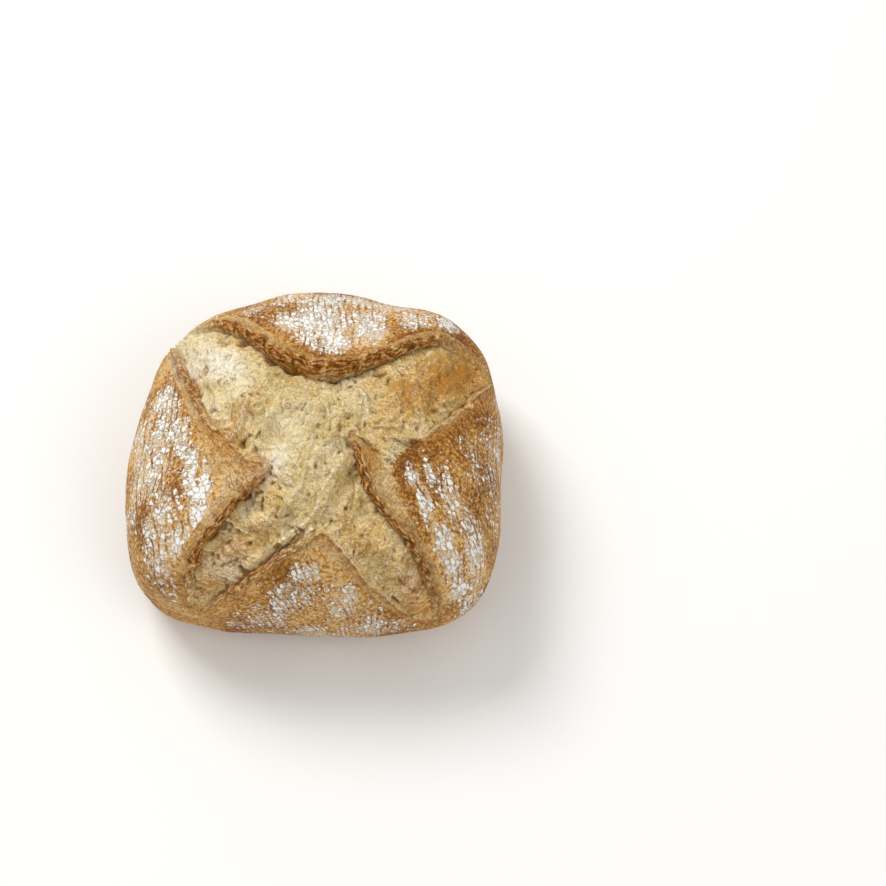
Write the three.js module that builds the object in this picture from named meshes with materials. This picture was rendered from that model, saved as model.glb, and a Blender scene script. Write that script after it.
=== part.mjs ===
// A rustic bread roll whose top was cut with a cross and has torn open in the oven.
// Millimetres, +Z up, the flat base on z = 0. One solid: four petals of crust stand round
// an X-shaped field of torn crumb.
//
// The skin of the roll is described on a map: a place [u, v] of the map lies in the
// direction atan2(v, u) round the roll, and hypot(u, v) / MAP_RADIUS radians away from
// straight up, as seen from the middle of the belly. +v is the back, +u the right.
import * as THREE from 'three';

// Plain form of the roll.
const HALF_WIDTH = 47.9;
const HALF_DEPTH = 44.4;
const OUTLINE_POWER = 4.66;       // how square the roll is, seen from above
const OUTLINE_SWAY = [            // cosine and sine share of each wave round the outline
  [0, -0.058], [0, 0.018], [-0.010, -0.020], [0.036, 0.015], [0, 0.009],
];
const HEIGHT = 55;
const BELLY = 20;                 // height of the widest level
const TOP_POWER = 2.4;
const FOOT_POWER = 3.6;
const FOOT_SINK = 3;              // how far the rounded foot would reach below the base
const MAP_RADIUS = 45;

// Edges of the four petals, each walked clockwise round the cross as seen from above.
// A point is [u, v, step, face]: its place on the map, the drop from the lip to the crumb
// beside it, and the width of the torn face on which it drops.
const PETALS = [
  { // back
    tip: 4,
    points: [
      [-49.5, 42.5, 0.2, 1.0], [-36.7, 36, 1.3, 1.6], [-27.5, 32.4, 2.3, 2.0],
      [-11.2, 19.4, 3.3, 2.4], [4.5, 14.7, 3.5, 2.4], [18.9, 19, 2.9, 2.1], [33.3, 25.6, 1.9, 1.7],
      [45.3, 24, 0.9, 1.3], [55.5, 22.8, 0.2, 1.0],
    ],
  },
  { // right
    tip: 6,
    points: [
      [56.5, 20, 0.2, 1.0], [48.6, 11.5, 1.2, 1.0], [44, 4.2, 1.4, 1.0], [37.6, -2.8, 1.3, 1.0],
      [30.6, -8.6, 0.8, 1.1], [20, -9, 0.2, 1.5], [9.5, -8.1, 0.8, 1.2], [12.2, -15.4, 2.4, 1.2],
      [14.7, -23.9, 3.0, 1.2], [18.6, -30, 2.9, 1.2], [24.5, -36.5, 2.6, 1.1],
      [30.7, -44.8, 2.1, 1.0], [38.5, -58.5, 0.2, 1.0],
    ],
  },
  { // front
    tip: 4,
    points: [
      [36, -60, 0.2, 1.0], [26.1, -56.9, 0.7, 1.2], [13.6, -48.8, 0.8, 1.6], [4.3, -40.2, 0.7, 1.6],
      [-0.2, -38.1, 1.0, 1.2], [-7.8, -41.3, 1.8, 0.9], [-19.9, -47.7, 2.1, 0.9],
      [-30, -52, 1.6, 0.9], [-37, -54.5, 0.2, 1.0],
    ],
  },
  { // left
    tip: 4,
    points: [
      [-39.5, -52, 0.2, 1.0], [-35.7, -41.9, 2.0, 1.1], [-31.6, -34.7, 2.5, 1.2],
      [-23.7, -27.2, 2.6, 1.3], [-16.7, -18.8, 1.2, 1.8], [-21.5, -16.4, 0.6, 1.8],
      [-31.5, -4.7, 1.2, 1.3], [-39.2, 8.6, 2.1, 1.2], [-46.2, 28, 1.4, 1.2], [-52.5, 39, 0.2, 1.0],
    ],
  },
];
// Directions, in degrees, in which the arms of the cross point: after the back petal, after
// the right one, after the front one and after the left one.
const ARM_TURNS = [20.5, -57.5, -125.5, -220.5];
const ARM_SPREAD = 6;             // half the angle that the end of an arm takes at the base

const EDGE_STEPS = 12;            // steps of an edge between two of its points
const LIP_CURL = 0.5;             // rise of a lip above the plain form, as a share of its step
const CURL_REACH = 6;
const GUTTER = 1.0;               // depth of the furrow at the foot of a torn face
const GUTTER_REACH = 2.2;
const CRUMB_REACH = 8;            // distance from a lip in which the crumb swells back up
const CALM_REACH = 4;             // distance from a lip in which the crumb's lumps begin

// Hollows and ridges of the torn crumb: [u, v, half length, half width, turn, height], with
// the turn in degrees.
const CRUMB_FORMS = [
  [-22, -6, 8, 4.5, 62, -2.0],    // burst bubble beside the left petal
  [-14, -9, 6, 3.5, 50, -1.6],
  [-17, -5, 8, 1.6, 66, 1.8],     // its skin, standing up as a ridge
  [2, -28, 9, 2.2, 58, 1.6],      // seam that runs down to the front petal
  [-12, -37, 12, 2.6, 33, -1.5],
  [-15, -41, 10, 2.2, 33, 1.1],
  [-26, -37, 6, 3.5, 40, -1.4],
  [-20, -30, 4, 3, 40, -1.4],
  [14, 2, 12, 3, 35, 0.8],
  [16, -47, 8, 2.6, -40, -1.2],
  [-9, 12, 9, 3, -35, -0.9],
];
const CRUMB_LUMP = 0.55;
const CRUMB_LUMP_LENGTH = 11;
const CRUST_SWELL = 0.35;
const CRUST_SWELL_LENGTH = 27;
const FOOT_CALM = 8;              // height above the base at which the relief has its full size

// Fineness of the solid.
const ARM_CELLS = 18;             // along an arm of the cross
const CROSS_CELLS = 10;           // across an arm
const SIDE_CELLS = 19;            // from a lip down to the base
const LIP_CROWD = 0.55;           // how much the cells across an arm crowd to its lips
const SIDE_CROWD = 1.25;

const smooth = (t) => {
  const s = Math.min(Math.max(t, 0), 1);
  return s * s * (3 - 2 * s);
};
const between = (a, b, t) => a.map((x, i) => x + (b[i] - x) * t);

function outline(phi) {
  const square = (Math.abs(Math.cos(phi)) / HALF_WIDTH) ** OUTLINE_POWER
    + (Math.abs(Math.sin(phi)) / HALF_DEPTH) ** OUTLINE_POWER;
  const sway = OUTLINE_SWAY.reduce(
    (sum, [c, s], k) => sum + c * Math.cos((k + 1) * phi) + s * Math.sin((k + 1) * phi), 1);
  return sway * square ** (-1 / OUTLINE_POWER);
}

// Point of the roll over a place of the map, raised by lift.
function skinPoint([u, v], lift = 0) {
  const beta = Math.hypot(u, v) / MAP_RADIUS;
  const phi = Math.atan2(v, u);
  const power = Math.cos(beta) > 0 ? TOP_POWER : FOOT_POWER;
  const reach = Math.cos(beta) > 0 ? HEIGHT - BELLY : BELLY + FOOT_SINK;
  const radius = ((Math.sin(beta) / outline(phi)) ** power
    + (Math.abs(Math.cos(beta)) / reach) ** power) ** (-1 / power) + lift;
  return new THREE.Vector3(
    radius * Math.sin(beta) * Math.cos(phi),
    radius * Math.sin(beta) * Math.sin(phi),
    radius * Math.cos(beta) + BELLY);
}

// Place of the map, in a direction round the roll, at which the skin meets the flat base.
function rimPlace(phi) {
  const share = (BELLY / (BELLY + FOOT_SINK)) ** FOOT_POWER;
  const rimRadius = outline(phi) * (1 - share) ** (1 / FOOT_POWER);
  const reach = MAP_RADIUS * (Math.PI - Math.atan(rimRadius / BELLY));
  return [reach * Math.cos(phi), reach * Math.sin(phi)];
}

// Sum of plane waves in scattered directions, about 1 high.
function waves(point, length) {
  const count = 7;
  let sum = 0;
  for (let k = 0; k < count; k += 1) {
    const z = 1 - (2 * k + 1) / count;
    const ring = Math.sqrt(1 - z * z);
    const along = point.x * ring * Math.cos(2.4 * k) + point.y * ring * Math.sin(2.4 * k)
      + point.z * z;
    sum += Math.sin((2 * Math.PI * along / length) * (1 + 0.13 * k) + k * k + 1);
  }
  return sum / Math.sqrt(count);
}

// Smooth run of short steps through some points of an edge.
function walk(points) {
  const steps = [];
  for (let i = 0; i < points.length - 1; i += 1) {
    const [a, b, c, d] = [i - 1, i, i + 1, i + 2].map(
      (k) => points[Math.min(Math.max(k, 0), points.length - 1)]);
    for (let j = 0; j < EDGE_STEPS; j += 1) {
      const t = j / EDGE_STEPS;
      steps.push(b.map((_, n) => 0.5 * (2 * b[n] + (c[n] - a[n]) * t
        + (2 * a[n] - 5 * b[n] + 4 * c[n] - d[n]) * t * t
        + (3 * b[n] - a[n] - 3 * c[n] + d[n]) * t ** 3)));
    }
  }
  steps.push(points[points.length - 1]);
  return steps;
}

// Evenly spaced places along a run of steps.
function spread(steps, cells) {
  const lengths = [0];
  for (let i = 1; i < steps.length; i += 1) {
    lengths.push(lengths[i - 1]
      + Math.hypot(steps[i][0] - steps[i - 1][0], steps[i][1] - steps[i - 1][1]));
  }
  const places = [];
  for (let k = 0; k <= cells; k += 1) {
    const at = (lengths[lengths.length - 1] * k) / cells;
    const i = Math.min(Math.max(lengths.findIndex((length) => length >= at), 1), steps.length - 1);
    const t = (at - lengths[i - 1]) / (lengths[i] - lengths[i - 1]);
    places.push(between(steps[i - 1], steps[i], t).slice(0, 2));
  }
  return places;
}

const edges = PETALS.map(({ points }) => walk(points));
const edgePoints = edges.map((edge) => edge.map((step) => skinPoint(step)));

// Nearest place of a petal's edge: its distance in millimetres, and its step and face.
function nearest(petal, point) {
  const [edge, solid] = [edges[petal], edgePoints[petal]];
  let best = { distance: Infinity };
  for (let i = 0; i < edge.length - 1; i += 1) {
    const span = solid[i + 1].clone().sub(solid[i]);
    const share = point.clone().sub(solid[i]).dot(span) / span.lengthSq();
    const t = Math.min(Math.max(share, 0), 1);
    const distance = point.distanceTo(solid[i].clone().addScaledVector(span, t));
    if (distance < best.distance) {
      const [, , step, face] = between(edge[i], edge[i + 1], t);
      best = { distance, step, face };
    }
  }
  return best;
}

// Depth of the crumb below the plain form, at a distance from one lip.
function tornDepth({ distance, step, face }) {
  const fallen = smooth(distance / face);
  const past = Math.max(distance - face, 0);
  const furrow = GUTTER * Math.min(step / 2, 1) * Math.exp(-((past / GUTTER_REACH) ** 2));
  const swell = step * (1 - Math.exp(-past / CRUMB_REACH));
  return (step * (1 + LIP_CURL) + furrow) * fallen - LIP_CURL * step - swell;
}

function crumbForms([u, v]) {
  return CRUMB_FORMS.reduce((sum, [cu, cv, halfLength, halfWidth, degrees, height]) => {
    const turn = THREE.MathUtils.degToRad(degrees);
    const along = ((u - cu) * Math.cos(turn) + (v - cv) * Math.sin(turn)) / halfLength;
    const across = ((v - cv) * Math.cos(turn) - (u - cu) * Math.sin(turn)) / halfWidth;
    return sum + height * Math.exp(-(along * along + across * across));
  }, 0);
}

// Height of the relief over a place of the map, in the torn crumb or on the crust.
function relief(place, torn) {
  const point = skinPoint(place);
  const swell = CRUST_SWELL * waves(point, CRUST_SWELL_LENGTH) * smooth(point.z / FOOT_CALM);
  const found = PETALS.map((_, petal) => nearest(petal, point));
  const lip = found.reduce((a, b) => (a.distance < b.distance ? a : b));
  if (!torn) return swell + LIP_CURL * lip.step * Math.exp(-lip.distance / CURL_REACH);

  const inward = smooth(lip.distance / CALM_REACH);
  const others = found.filter((each) => each !== lip)
    .reduce((sum, each) => sum + tornDepth(each), 0);
  const lumps = CRUMB_LUMP * waves(point, CRUMB_LUMP_LENGTH) + crumbForms(place);
  return swell - tornDepth(lip) + inward * (lumps - others);
}

function rollGeometry() {
  const positions = [];
  const places = [];
  const triangles = [];
  const add = (place, torn) => {
    const point = skinPoint(place, relief(place, torn));
    positions.push(point.x, point.y, point.z);
    return places.push(place) - 1;
  };
  const quad = (a, b, c, d) => triangles.push(a, b, c, a, c, d);
  const crowded = (m) => m / CROSS_CELLS
    - (LIP_CROWD * Math.sin((2 * Math.PI * m) / CROSS_CELLS)) / (2 * Math.PI);
  // Line of corners from one corner to another, crowded to both ends.
  const line = (from, to, torn) => {
    const corners = [from];
    for (let m = 1; m < CROSS_CELLS; m += 1) {
      corners.push(add(between(places[from], places[to], crowded(m)), torn));
    }
    return [...corners, to];
  };

  // Lips: each petal has a run of corners into its tip and one out of it.
  const lips = PETALS.map(({ tip }, petal) => {
    const cut = tip * EDGE_STEPS;
    const into = spread(edges[petal].slice(0, cut + 1), ARM_CELLS).map((p) => add(p, false));
    const out = spread(edges[petal].slice(cut), ARM_CELLS).slice(1).map((p) => add(p, false));
    return { into, out: [into[ARM_CELLS], ...out] };
  });

  // Arms of the cross, each between the way out of a petal and the way into the next one.
  const roots = [];
  const ends = [];
  lips.forEach(({ out }, petal) => {
    const opposite = lips[(petal + 1) % lips.length].into.toReversed();
    let before = line(out[0], opposite[0], true);
    roots.push(before);
    for (let k = 1; k <= ARM_CELLS; k += 1) {
      const row = line(out[k], opposite[k], k < ARM_CELLS);
      for (let m = 0; m < CROSS_CELLS; m += 1) quad(before[m], before[m + 1], row[m + 1], row[m]);
      before = row;
    }
    ends.push(before);
  });

  // Middle of the cross, a patch between the four roots of the arms.
  const [north, east, south, west] = [roots[0], roots[1], roots[2].toReversed(),
    roots[3].toReversed()];
  let before = north;
  for (let j = 1; j <= CROSS_CELLS; j += 1) {
    const row = [west[j]];
    for (let i = 1; i < CROSS_CELLS; i += 1) {
      const [s, t] = [crowded(i), crowded(j)];
      const sides = between(places[west[j]], places[east[j]], s);
      const caps = between(places[north[i]], places[south[i]], t);
      const corners = between(
        between(places[north[0]], places[north[CROSS_CELLS]], s),
        between(places[south[0]], places[south[CROSS_CELLS]], s), t);
      row.push(j < CROSS_CELLS
        ? add(sides.map((x, n) => x + caps[n] - corners[n]), true) : south[i]);
    }
    row.push(east[j]);
    for (let i = 0; i < CROSS_CELLS; i += 1) quad(row[i], row[i + 1], before[i + 1], before[i]);
    before = row;
  }

  // Crust, in rings from the lips down to the base.
  let ring = [];
  const turns = [];
  lips.forEach(({ into, out }, petal) => {
    const start = ARM_TURNS[(petal + 3) % 4] + (petal === 0 ? 360 : 0) - ARM_SPREAD;
    const end = ARM_TURNS[petal] + ARM_SPREAD;
    [...into, ...out.slice(1)].forEach((corner, k) => {
      ring.push(corner);
      turns.push(start + ((end - start) * k) / (2 * ARM_CELLS));
    });
    ends[petal].slice(1, -1).forEach((corner, m) => {
      ring.push(corner);
      turns.push(end - (2 * ARM_SPREAD * (m + 1)) / CROSS_CELLS);
    });
  });
  const lipPlaces = ring.map((corner) => places[corner]);
  const rimPlaces = turns.map((degrees) => rimPlace(THREE.MathUtils.degToRad(degrees)));
  for (let row = 1; row <= SIDE_CELLS; row += 1) {
    const share = (row / SIDE_CELLS) ** SIDE_CROWD;
    const next = lipPlaces.map((place, k) => add(between(place, rimPlaces[k], share), false));
    ring.forEach((corner, k) => {
      const after = (k + 1) % ring.length;
      quad(corner, ring[after], next[after], next[k]);
    });
    ring = next;
  }

  // Flat base.
  ring.forEach((corner) => { positions[3 * corner + 2] = 0; });
  const middle = positions.length / 3;
  positions.push(0, 0, 0);
  ring.forEach((corner, k) => triangles.push(middle, corner, ring[(k + 1) % ring.length]));

  const geometry = new THREE.BufferGeometry();
  geometry.setAttribute('position', new THREE.Float32BufferAttribute(positions, 3));
  geometry.setIndex(triangles);
  geometry.computeBoundingBox();
  const centre = geometry.boundingBox.getCenter(new THREE.Vector3());
  geometry.translate(-centre.x, -centre.y, 0);
  geometry.computeVertexNormals();
  return geometry;
}

const crust = new THREE.MeshStandardMaterial({ color: 0xb08850, roughness: 0.85, metalness: 0 });
const roll = new THREE.Mesh(rollGeometry(), crust);
roll.name = 'bread_roll';

const group = new THREE.Group();
group.add(roll);

export default group;
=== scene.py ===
"""A rustic bread roll: floured, browned crust torn open along a cross, round pale crumb.

The roll stands in the frame of its solid, +Z up and the flat base on z = 0. Its skin is
described on a map, as in the solid: a place [u, v] lies in the direction atan2(v, u) round
the roll, and hypot(u, v) / MAP_RADIUS radians away from straight up, as seen from the
middle of the belly. +v is the back and +u the right. Sizes are millimetres until MM.
"""
import itertools
import math
from collections import namedtuple

import bpy
import numpy as np
from mathutils import Matrix, Vector


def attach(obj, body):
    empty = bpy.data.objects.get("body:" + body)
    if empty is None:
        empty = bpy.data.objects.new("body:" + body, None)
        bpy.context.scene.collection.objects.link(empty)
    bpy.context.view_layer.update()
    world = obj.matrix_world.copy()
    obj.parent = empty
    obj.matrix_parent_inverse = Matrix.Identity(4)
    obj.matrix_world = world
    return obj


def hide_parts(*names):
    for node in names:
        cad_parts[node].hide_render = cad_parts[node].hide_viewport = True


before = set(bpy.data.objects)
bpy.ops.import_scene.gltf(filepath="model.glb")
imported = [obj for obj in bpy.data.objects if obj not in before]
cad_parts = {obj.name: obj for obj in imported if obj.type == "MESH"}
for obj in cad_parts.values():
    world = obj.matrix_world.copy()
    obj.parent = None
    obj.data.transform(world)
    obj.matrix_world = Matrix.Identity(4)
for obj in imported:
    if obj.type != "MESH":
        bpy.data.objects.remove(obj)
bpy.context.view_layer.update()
MM = 0.001

# Plain form of the roll, as in the solid.
HALF_WIDTH = 47.9
HALF_DEPTH = 44.4
OUTLINE_POWER = 4.66        # 2 is an ellipse, and more is squarer
OUTLINE_SWAY = ((0, -0.058), (0, 0.018), (-0.010, -0.020), (0.036, 0.015), (0, 0.009))
HEIGHT = 55
BELLY = 20                  # height at which the roll is widest
TOP_POWER = 2.4
FOOT_POWER = 3.6
FOOT_SINK = 3               # how far the round form would reach below the flat base
MAP_RADIUS = 45

# Edges of the petals, clockwise as seen from above, as in the solid: which point is the tip,
# and for each point its place on the map, step down to the crumb and width of the torn face.
# The fifth value is the width of bare, torn skin on the crust beside the lip.
PETALS = {
    "back": (4, (
        (-49.5, 42.5, 0.2, 1.0, 0.8), (-36.7, 36, 1.3, 1.6, 1.8), (-27.5, 32.4, 2.3, 2.0, 2.2),
        (-11.2, 19.4, 3.3, 2.4, 1.2), (4.5, 14.7, 3.5, 2.4, 0.6), (18.9, 19, 2.9, 2.1, 0.8),
        (33.3, 25.6, 1.9, 1.7, 1.4), (45.3, 24, 0.9, 1.3, 1.6), (55.5, 22.8, 0.2, 1.0, 0.6))),
    "right": (6, (
        (56.5, 20, 0.2, 1.0, 0.5), (48.6, 11.5, 1.2, 1.0, 0.9), (44, 4.2, 1.4, 1.0, 0.7),
        (37.6, -2.8, 1.3, 1.0, 0.6), (30.6, -8.6, 0.8, 1.1, 0.6), (20, -9, 0.2, 1.5, 0.4),
        (9.5, -8.1, 0.8, 1.2, 3.0), (12.2, -15.4, 2.4, 1.2, 4.4), (14.7, -23.9, 3.0, 1.2, 4.2),
        (18.6, -30, 2.9, 1.2, 3.0), (24.5, -36.5, 2.6, 1.1, 2.0), (30.7, -44.8, 2.1, 1.0, 1.4),
        (38.5, -58.5, 0.2, 1.0, 0.8))),
    "front": (4, (
        (36, -60, 0.2, 1.0, 0.6), (26.1, -56.9, 0.7, 1.2, 1.2), (13.6, -48.8, 0.8, 1.6, 1.6),
        (4.3, -40.2, 0.7, 1.6, 2.2), (-0.2, -38.1, 1.0, 1.2, 2.2), (-7.8, -41.3, 1.8, 0.9, 0.9),
        (-19.9, -47.7, 2.1, 0.9, 0.6), (-30, -52, 1.6, 0.9, 0.6), (-37, -54.5, 0.2, 1.0, 0.6))),
    "left": (4, (
        (-39.5, -52, 0.2, 1.0, 0.6), (-35.7, -41.9, 2.0, 1.1, 1.2), (-31.6, -34.7, 2.5, 1.2, 1.6),
        (-23.7, -27.2, 2.6, 1.3, 3.2), (-16.7, -18.8, 1.2, 1.8, 9.0),
        (-21.5, -16.4, 0.6, 1.8, 8.0), (-31.5, -4.7, 1.2, 1.3, 2.6), (-39.2, 8.6, 2.1, 1.2, 1.6),
        (-46.2, 28, 1.4, 1.2, 1.6), (-52.5, 39, 0.2, 1.0, 0.8))),
}
# Crumb that bites into the right petal: its deepest place, then a place on each of its sides.
NOTCH = ((19.7, -19.6), (10.5, -8.1), (31.5, -7.2))
NOTCH_REACH = 16
NOTCH_DROP = 0.8
NOTCH_EDGE = 0.5            # width over which crust turns to crumb at its sides
NOTCH_OUT = -9              # stands for any place far outside it
NOTCH_LIP = 1.5             # width of the drop along the notch's right side
ARM_TURNS = (20.5, -57.5, -125.5, -220.5)  # directions in which the arms meet the base
ARM_SPREAD = 6              # degrees to each side of them
EDGE_STEPS = 12             # steps between two points of an edge
LIP_CURL = 0.5              # how far a lip curls up, as a share of its step
CURL_REACH = 6
GUTTER = 1.0                # furrow at the foot of a torn face
GUTTER_STEP = 2             # a lip this high has all of it
GUTTER_REACH = 2.2
CRUMB_REACH = 8             # distance over which the crumb swells up again
CALM_REACH = 4              # distance from a lip over which the lumps begin
# Lumps and hollows of the crumb: place, half length, half width, turn, height.
CRUMB_FORMS = (
    (-22, -6, 8, 4.5, 62, -2.0), (-14, -9, 6, 3.5, 50, -1.6), (-17, -5, 8, 1.6, 66, 1.8),
    (2, -28, 9, 2.2, 58, 1.6), (-12, -37, 12, 2.6, 33, -1.5), (-15, -41, 10, 2.2, 33, 1.1),
    (-26, -37, 6, 3.5, 40, -1.4), (-20, -30, 4, 3, 40, -1.4), (14, 2, 12, 3, 35, 0.8),
    (16, -47, 8, 2.6, -40, -1.2), (-9, 12, 9, 3, -35, -0.9),
)
CRUMB_LUMP = 0.55
CRUMB_LUMP_LENGTH = 11
CRUST_SWELL = 0.35
CRUST_SWELL_LENGTH = 27
FOOT_CALM = 8

# Fineness of the skin.
ARM_CELLS = 128             # along an arm of the cross
CROSS_CELLS = 52            # across it
SIDE_CELLS = 50             # from the cross down to the base
BASE_CELLS = 3
BASE_RISE = 0.3             # hollow in the middle of the base
LIP_CROWD = 0.55            # how much the cells across an arm crowd to its lips
SIDE_CROWD = 1.25           # how much those of the crust crowd to the lips
ARM_FADE = 8                # rows over which the torn relief dies away at an arm's end
SEW = 0.012                 # corners nearer than this are one
PETAL_GAP = 1000            # keeps the patterns along two petals' edges apart

# Finer relief of the torn lips and crumb.
CROSS_MIDDLE = (-1, -7)     # the fibres of the crumb lie in rings round this place
FULL_STEP = 1.5             # a lip this high is as ragged as any
RAG = 0.95                  # how far a torn lip strays aside from its smooth line
CREST = 0.55                # how far it strays up and down
RAG_LENGTH = 3.0
CREST_LENGTH = 1.8
RAG_REACH = 1.5             # distance over which the rag dies away
OVERHANG = 0.22             # how far a torn face leans out, as a share of its step
UNDERCUT = 0.42             # how far its foot is cut back, in the same share
UNDERCUT_REACH = 0.8
FOOT_OUT = 0.4              # how far before the face the cut lies
FINE_REACH = 1.6            # distance from a lip over which the fine relief begins
LUMP_FINE = 0.50
LUMP_FINE_LENGTH = 4.2
FIBRE = 0.22
FIBRE_WIDTH = 1.1
FIBRE_LENGTH = 5.5
FIBRE_RADIUS = 24           # how far from the middle of the rings they are that long
WEB = 0.40                  # height of the thin walls between burst bubbles
WEB_LENGTHS = (6.5, 2.4)
WEB_WIDTH = 0.13
LAYER = 0.75                # height of the torn layers, each ending in a sharp edge
LAYER_LENGTH = 8.0
LAYER_COUNT = 2.6
LAYER_FIRST = 20            # keeps the numbers of the layers above 0
LAYER_EDGE = 0.13           # share of a layer that its edge takes
PORE_CELL = 2.3             # one square of this size in two has a pore
PORE_DEPTH = 0.7
PORE_SHARE = 0.5
PORE_MARGIN = 0.15          # shares of the square: how far pores keep from its sides,
PORE_LEAST = 0.12           # the radius of the smallest,
PORE_MORE = 0.20            # how much larger the largest is,
PORE_FULL = 0.25            # and from which radius a pore has its full depth
PORE_SIDE = 1.3             # how far out a pore ends, in half sizes
PORE_STRETCH = 1.7          # how oval they are
STRIP = 0.45                # flaky strips along the torn faces
STRIP_WIDTH = 0.8
STRIP_LENGTH = 3.0
# Holes between the crumb and the back petal, and pits in the crumb: place, half length, half
# width, turn, depth.
PITS = (
    (-29.7, 27, 1.5, 0.8, -20, 2.0), (-25.7, 26, 1.9, 1.0, -20, 2.6), (-17.5, 19.6, 2.0, 1.1, -35, 2.6),
    (-10.3, 16.0, 3.2, 1.1, -22, 2.8), (5.5, 11.8, 3.0, 0.7, 8, 1.1), (20, 13.4, 2.6, 0.8, 15, 1.2),
    (-30.6, -35.4, 1.6, 0.9, 40, 1.6), (-28.2, -34.2, 1.0, 0.7, 40, 1.2),
    (-21, -39.3, 0.8, 0.7, 0, 1.3), (-23.8, -45.7, 1.7, 1.2, -30, 1.1),
    (-35, -40.7, 0.8, 2.0, 0, 1.3), (-13.2, -41.1, 1.3, 0.7, 35, 1.2),
    (-17.5, -30.3, 0.8, 0.7, 0, 1.2), (-21.8, -27.4, 1.5, 1.0, 30, 1.5),
    (-19.7, -8.3, 1.5, 0.7, 60, 1.5), (-24.3, -12, 3.0, 1.0, 70, 1.7),
    (-32.5, 1.2, 0.8, 0.6, 0, 1.2), (13.7, -52.4, 1.0, 0.7, 0, 1.1), (23.7, -54.2, 1.4, 0.7, -30, 1.2),
)
PIT_RAG = 0.3               # how ragged the pits are, and over what length
PIT_RAG_LENGTH = 1.6
PIT_SIDE = 1.4              # how far out a pit ends, in half sizes
# Torn seams and thin walls that stand up from the crumb; the higher side is to their left.
SEAMS = (
    ((4.4, -20.4), (2, -24.4), (-0.5, -27.5), (-0.9, -30.8), (-2.6, -34.1), (-8.4, -37.9),
     (-12.2, -39.8)),
    ((-2.4, -36.4), (-7.5, -40), (-12.6, -43.4), (-17.3, -45.4)),
    ((-20.6, -24.9), (-19.2, -28.9), (-21.3, -31.2), (-22.8, -32.2)),
    ((-26.5, -32.1), (-25, -34.1), (-23, -35.6)),
    ((-19.7, -35.6), (-15.7, -35), (-11.4, -33.2), (-10, -31.6)),
    ((-27.2, -10.7), (-26.4, -7.6), (-24.7, -2.8), (-23.1, 2.3)),
    ((-21.5, -3.1), (-22.3, -7.1), (-21.4, -10.5), (-18.5, -14.6), (-16.9, -17.2)),
    ((-34.5, 18), (-33.9, 13.4), (-35.6, 8), (-36.6, 4.6)),
    ((-9.2, -0.5), (-6.6, 1.3), (-5, -1.3), (-6.3, -4.5)),
    ((10.5, 8.6), (14, 3.6), (15, -1.3), (12.9, -7.1)),
)
SEAM_WALL = 0.55            # height of the thin wall on a seam
SEAM_WIDTH = 0.7
SEAM_STEP = 0.75            # how much higher one side is
SEAM_RISE = 0.8             # width over which it rises
SEAM_REACH = 4
SEAM_FOOT = 0.9             # how far from the seam its shade lies
SEAM_FAR = 6
# How much painted shade the crumb's hollows get, and how much painted light its lumps and fibres take
# away from it.
LUMP_SHADE = 0.25
FIBRE_SHADE = 0.2
SEAM_SHADE = 0.6
CREVICE_SHADE = 0.7
FACE_BROWN = 0.55           # share of a torn face that is browned all over
FACE_BROWN_RAG = 0.6
FACE_BROWN_STEP = 2.5       # a lip this high is browned in full

# Finer relief of the crust.
BARE_LEAST = 0.3            # least width over which bare skin ends
BARE_BROWN = 0.30           # how far its colour goes to that of the torn faces
LIP_BROWN = 0.55            # how much further right at the lip
LIP_BROWN_REACH = 1.2
BARE_TOAST = 0.55           # how toasted it is
SKIN_FADE = 1.6             # width over which the skin reaches its full relief
SHARP_EDGE = 75             # degrees between faces at which an edge looks sharp
RIM_REACH = 1.5             # nearness to a lip is 1 on it and dies away over this
ON_LIP = 0.97               # nearness from which an edge is part of the lip
EDGE_RISE = 0.7             # width over which the bare rim rises again to the lip
SKIN_STEP = 0.35            # how much the crust stands above its bare, torn rim
BARE_WIDE = 2               # bare rims as wide as this have the whole step
LIP_FADE = 0.5              # width over which the rim's strips begin at the lip
BLISTER = 0.16              # low blisters of the baked skin
BLISTER_LENGTH = 3.4
GROOVE_PITCH = 2.1          # lines that the cloth of the proving basket left
GROOVE_SLANT = 0.32         # lean of the lines on the front of the roll
GROOVE_SLANT_FROM = -22
GROOVE_SWAY = 2.6           # how many lines they stray aside, and over what length
GROOVE_SWAY_LENGTH = 11
GROOVE_BREAK = (3, 7)       # width and length of the gaps in them

# Sizes of the patterns in the finishes.
STAIN = 14                  # clouds of lighter and darker crust
WRINKLE = 0.9
WRINKLE_DEPTH = 0.22
DUST = 0.60                 # specks of flour, coarser than real ones so that they show
DUST_DRAW = 1.6             # how much longer they are along the lines
DUST_DEPTH = 0.12
CAKE = 1.4                  # patches of caked flour
CAKE_DRAW = 1.2
PLATE = 1.5                 # pieces that the caked flour has cracked into
PLAQUE = 0.22               # their thickness
SHAKE = 1.5                 # how ragged their sides are, and over what length
SHAKE_LENGTH = 5 / 7
GROOVE_DEPTH = 0.14
CLOUD = 7                   # paler and darker crumb
GRIT = 0.62                 # the fine grain of the crumb
GRIT_DEPTH = 0.20
HAIRS = 1.7                 # fine threads to the width of a fibre
RIDGE = 1.9                 # curled edges of its torn cell walls
RIDGE_WIDTH = 0.024         # widths of thin lines are shares of their noise's height
RIDGE_DEPTH = 0.11
SLITS = 0.9                 # slits between the fibres, to the width of one
SLIT_WIDTH = 0.016
SLIT_DEPTH = 0.10
LAYER_JAG = 0.35            # how much the grit jags the edges of the layers,
SEAM_JAG = 1.4              # and those of the seams
FLAKES = 1.6                # flakes to the width of a strip
FLAKE_DEPTH = 0.30

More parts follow.
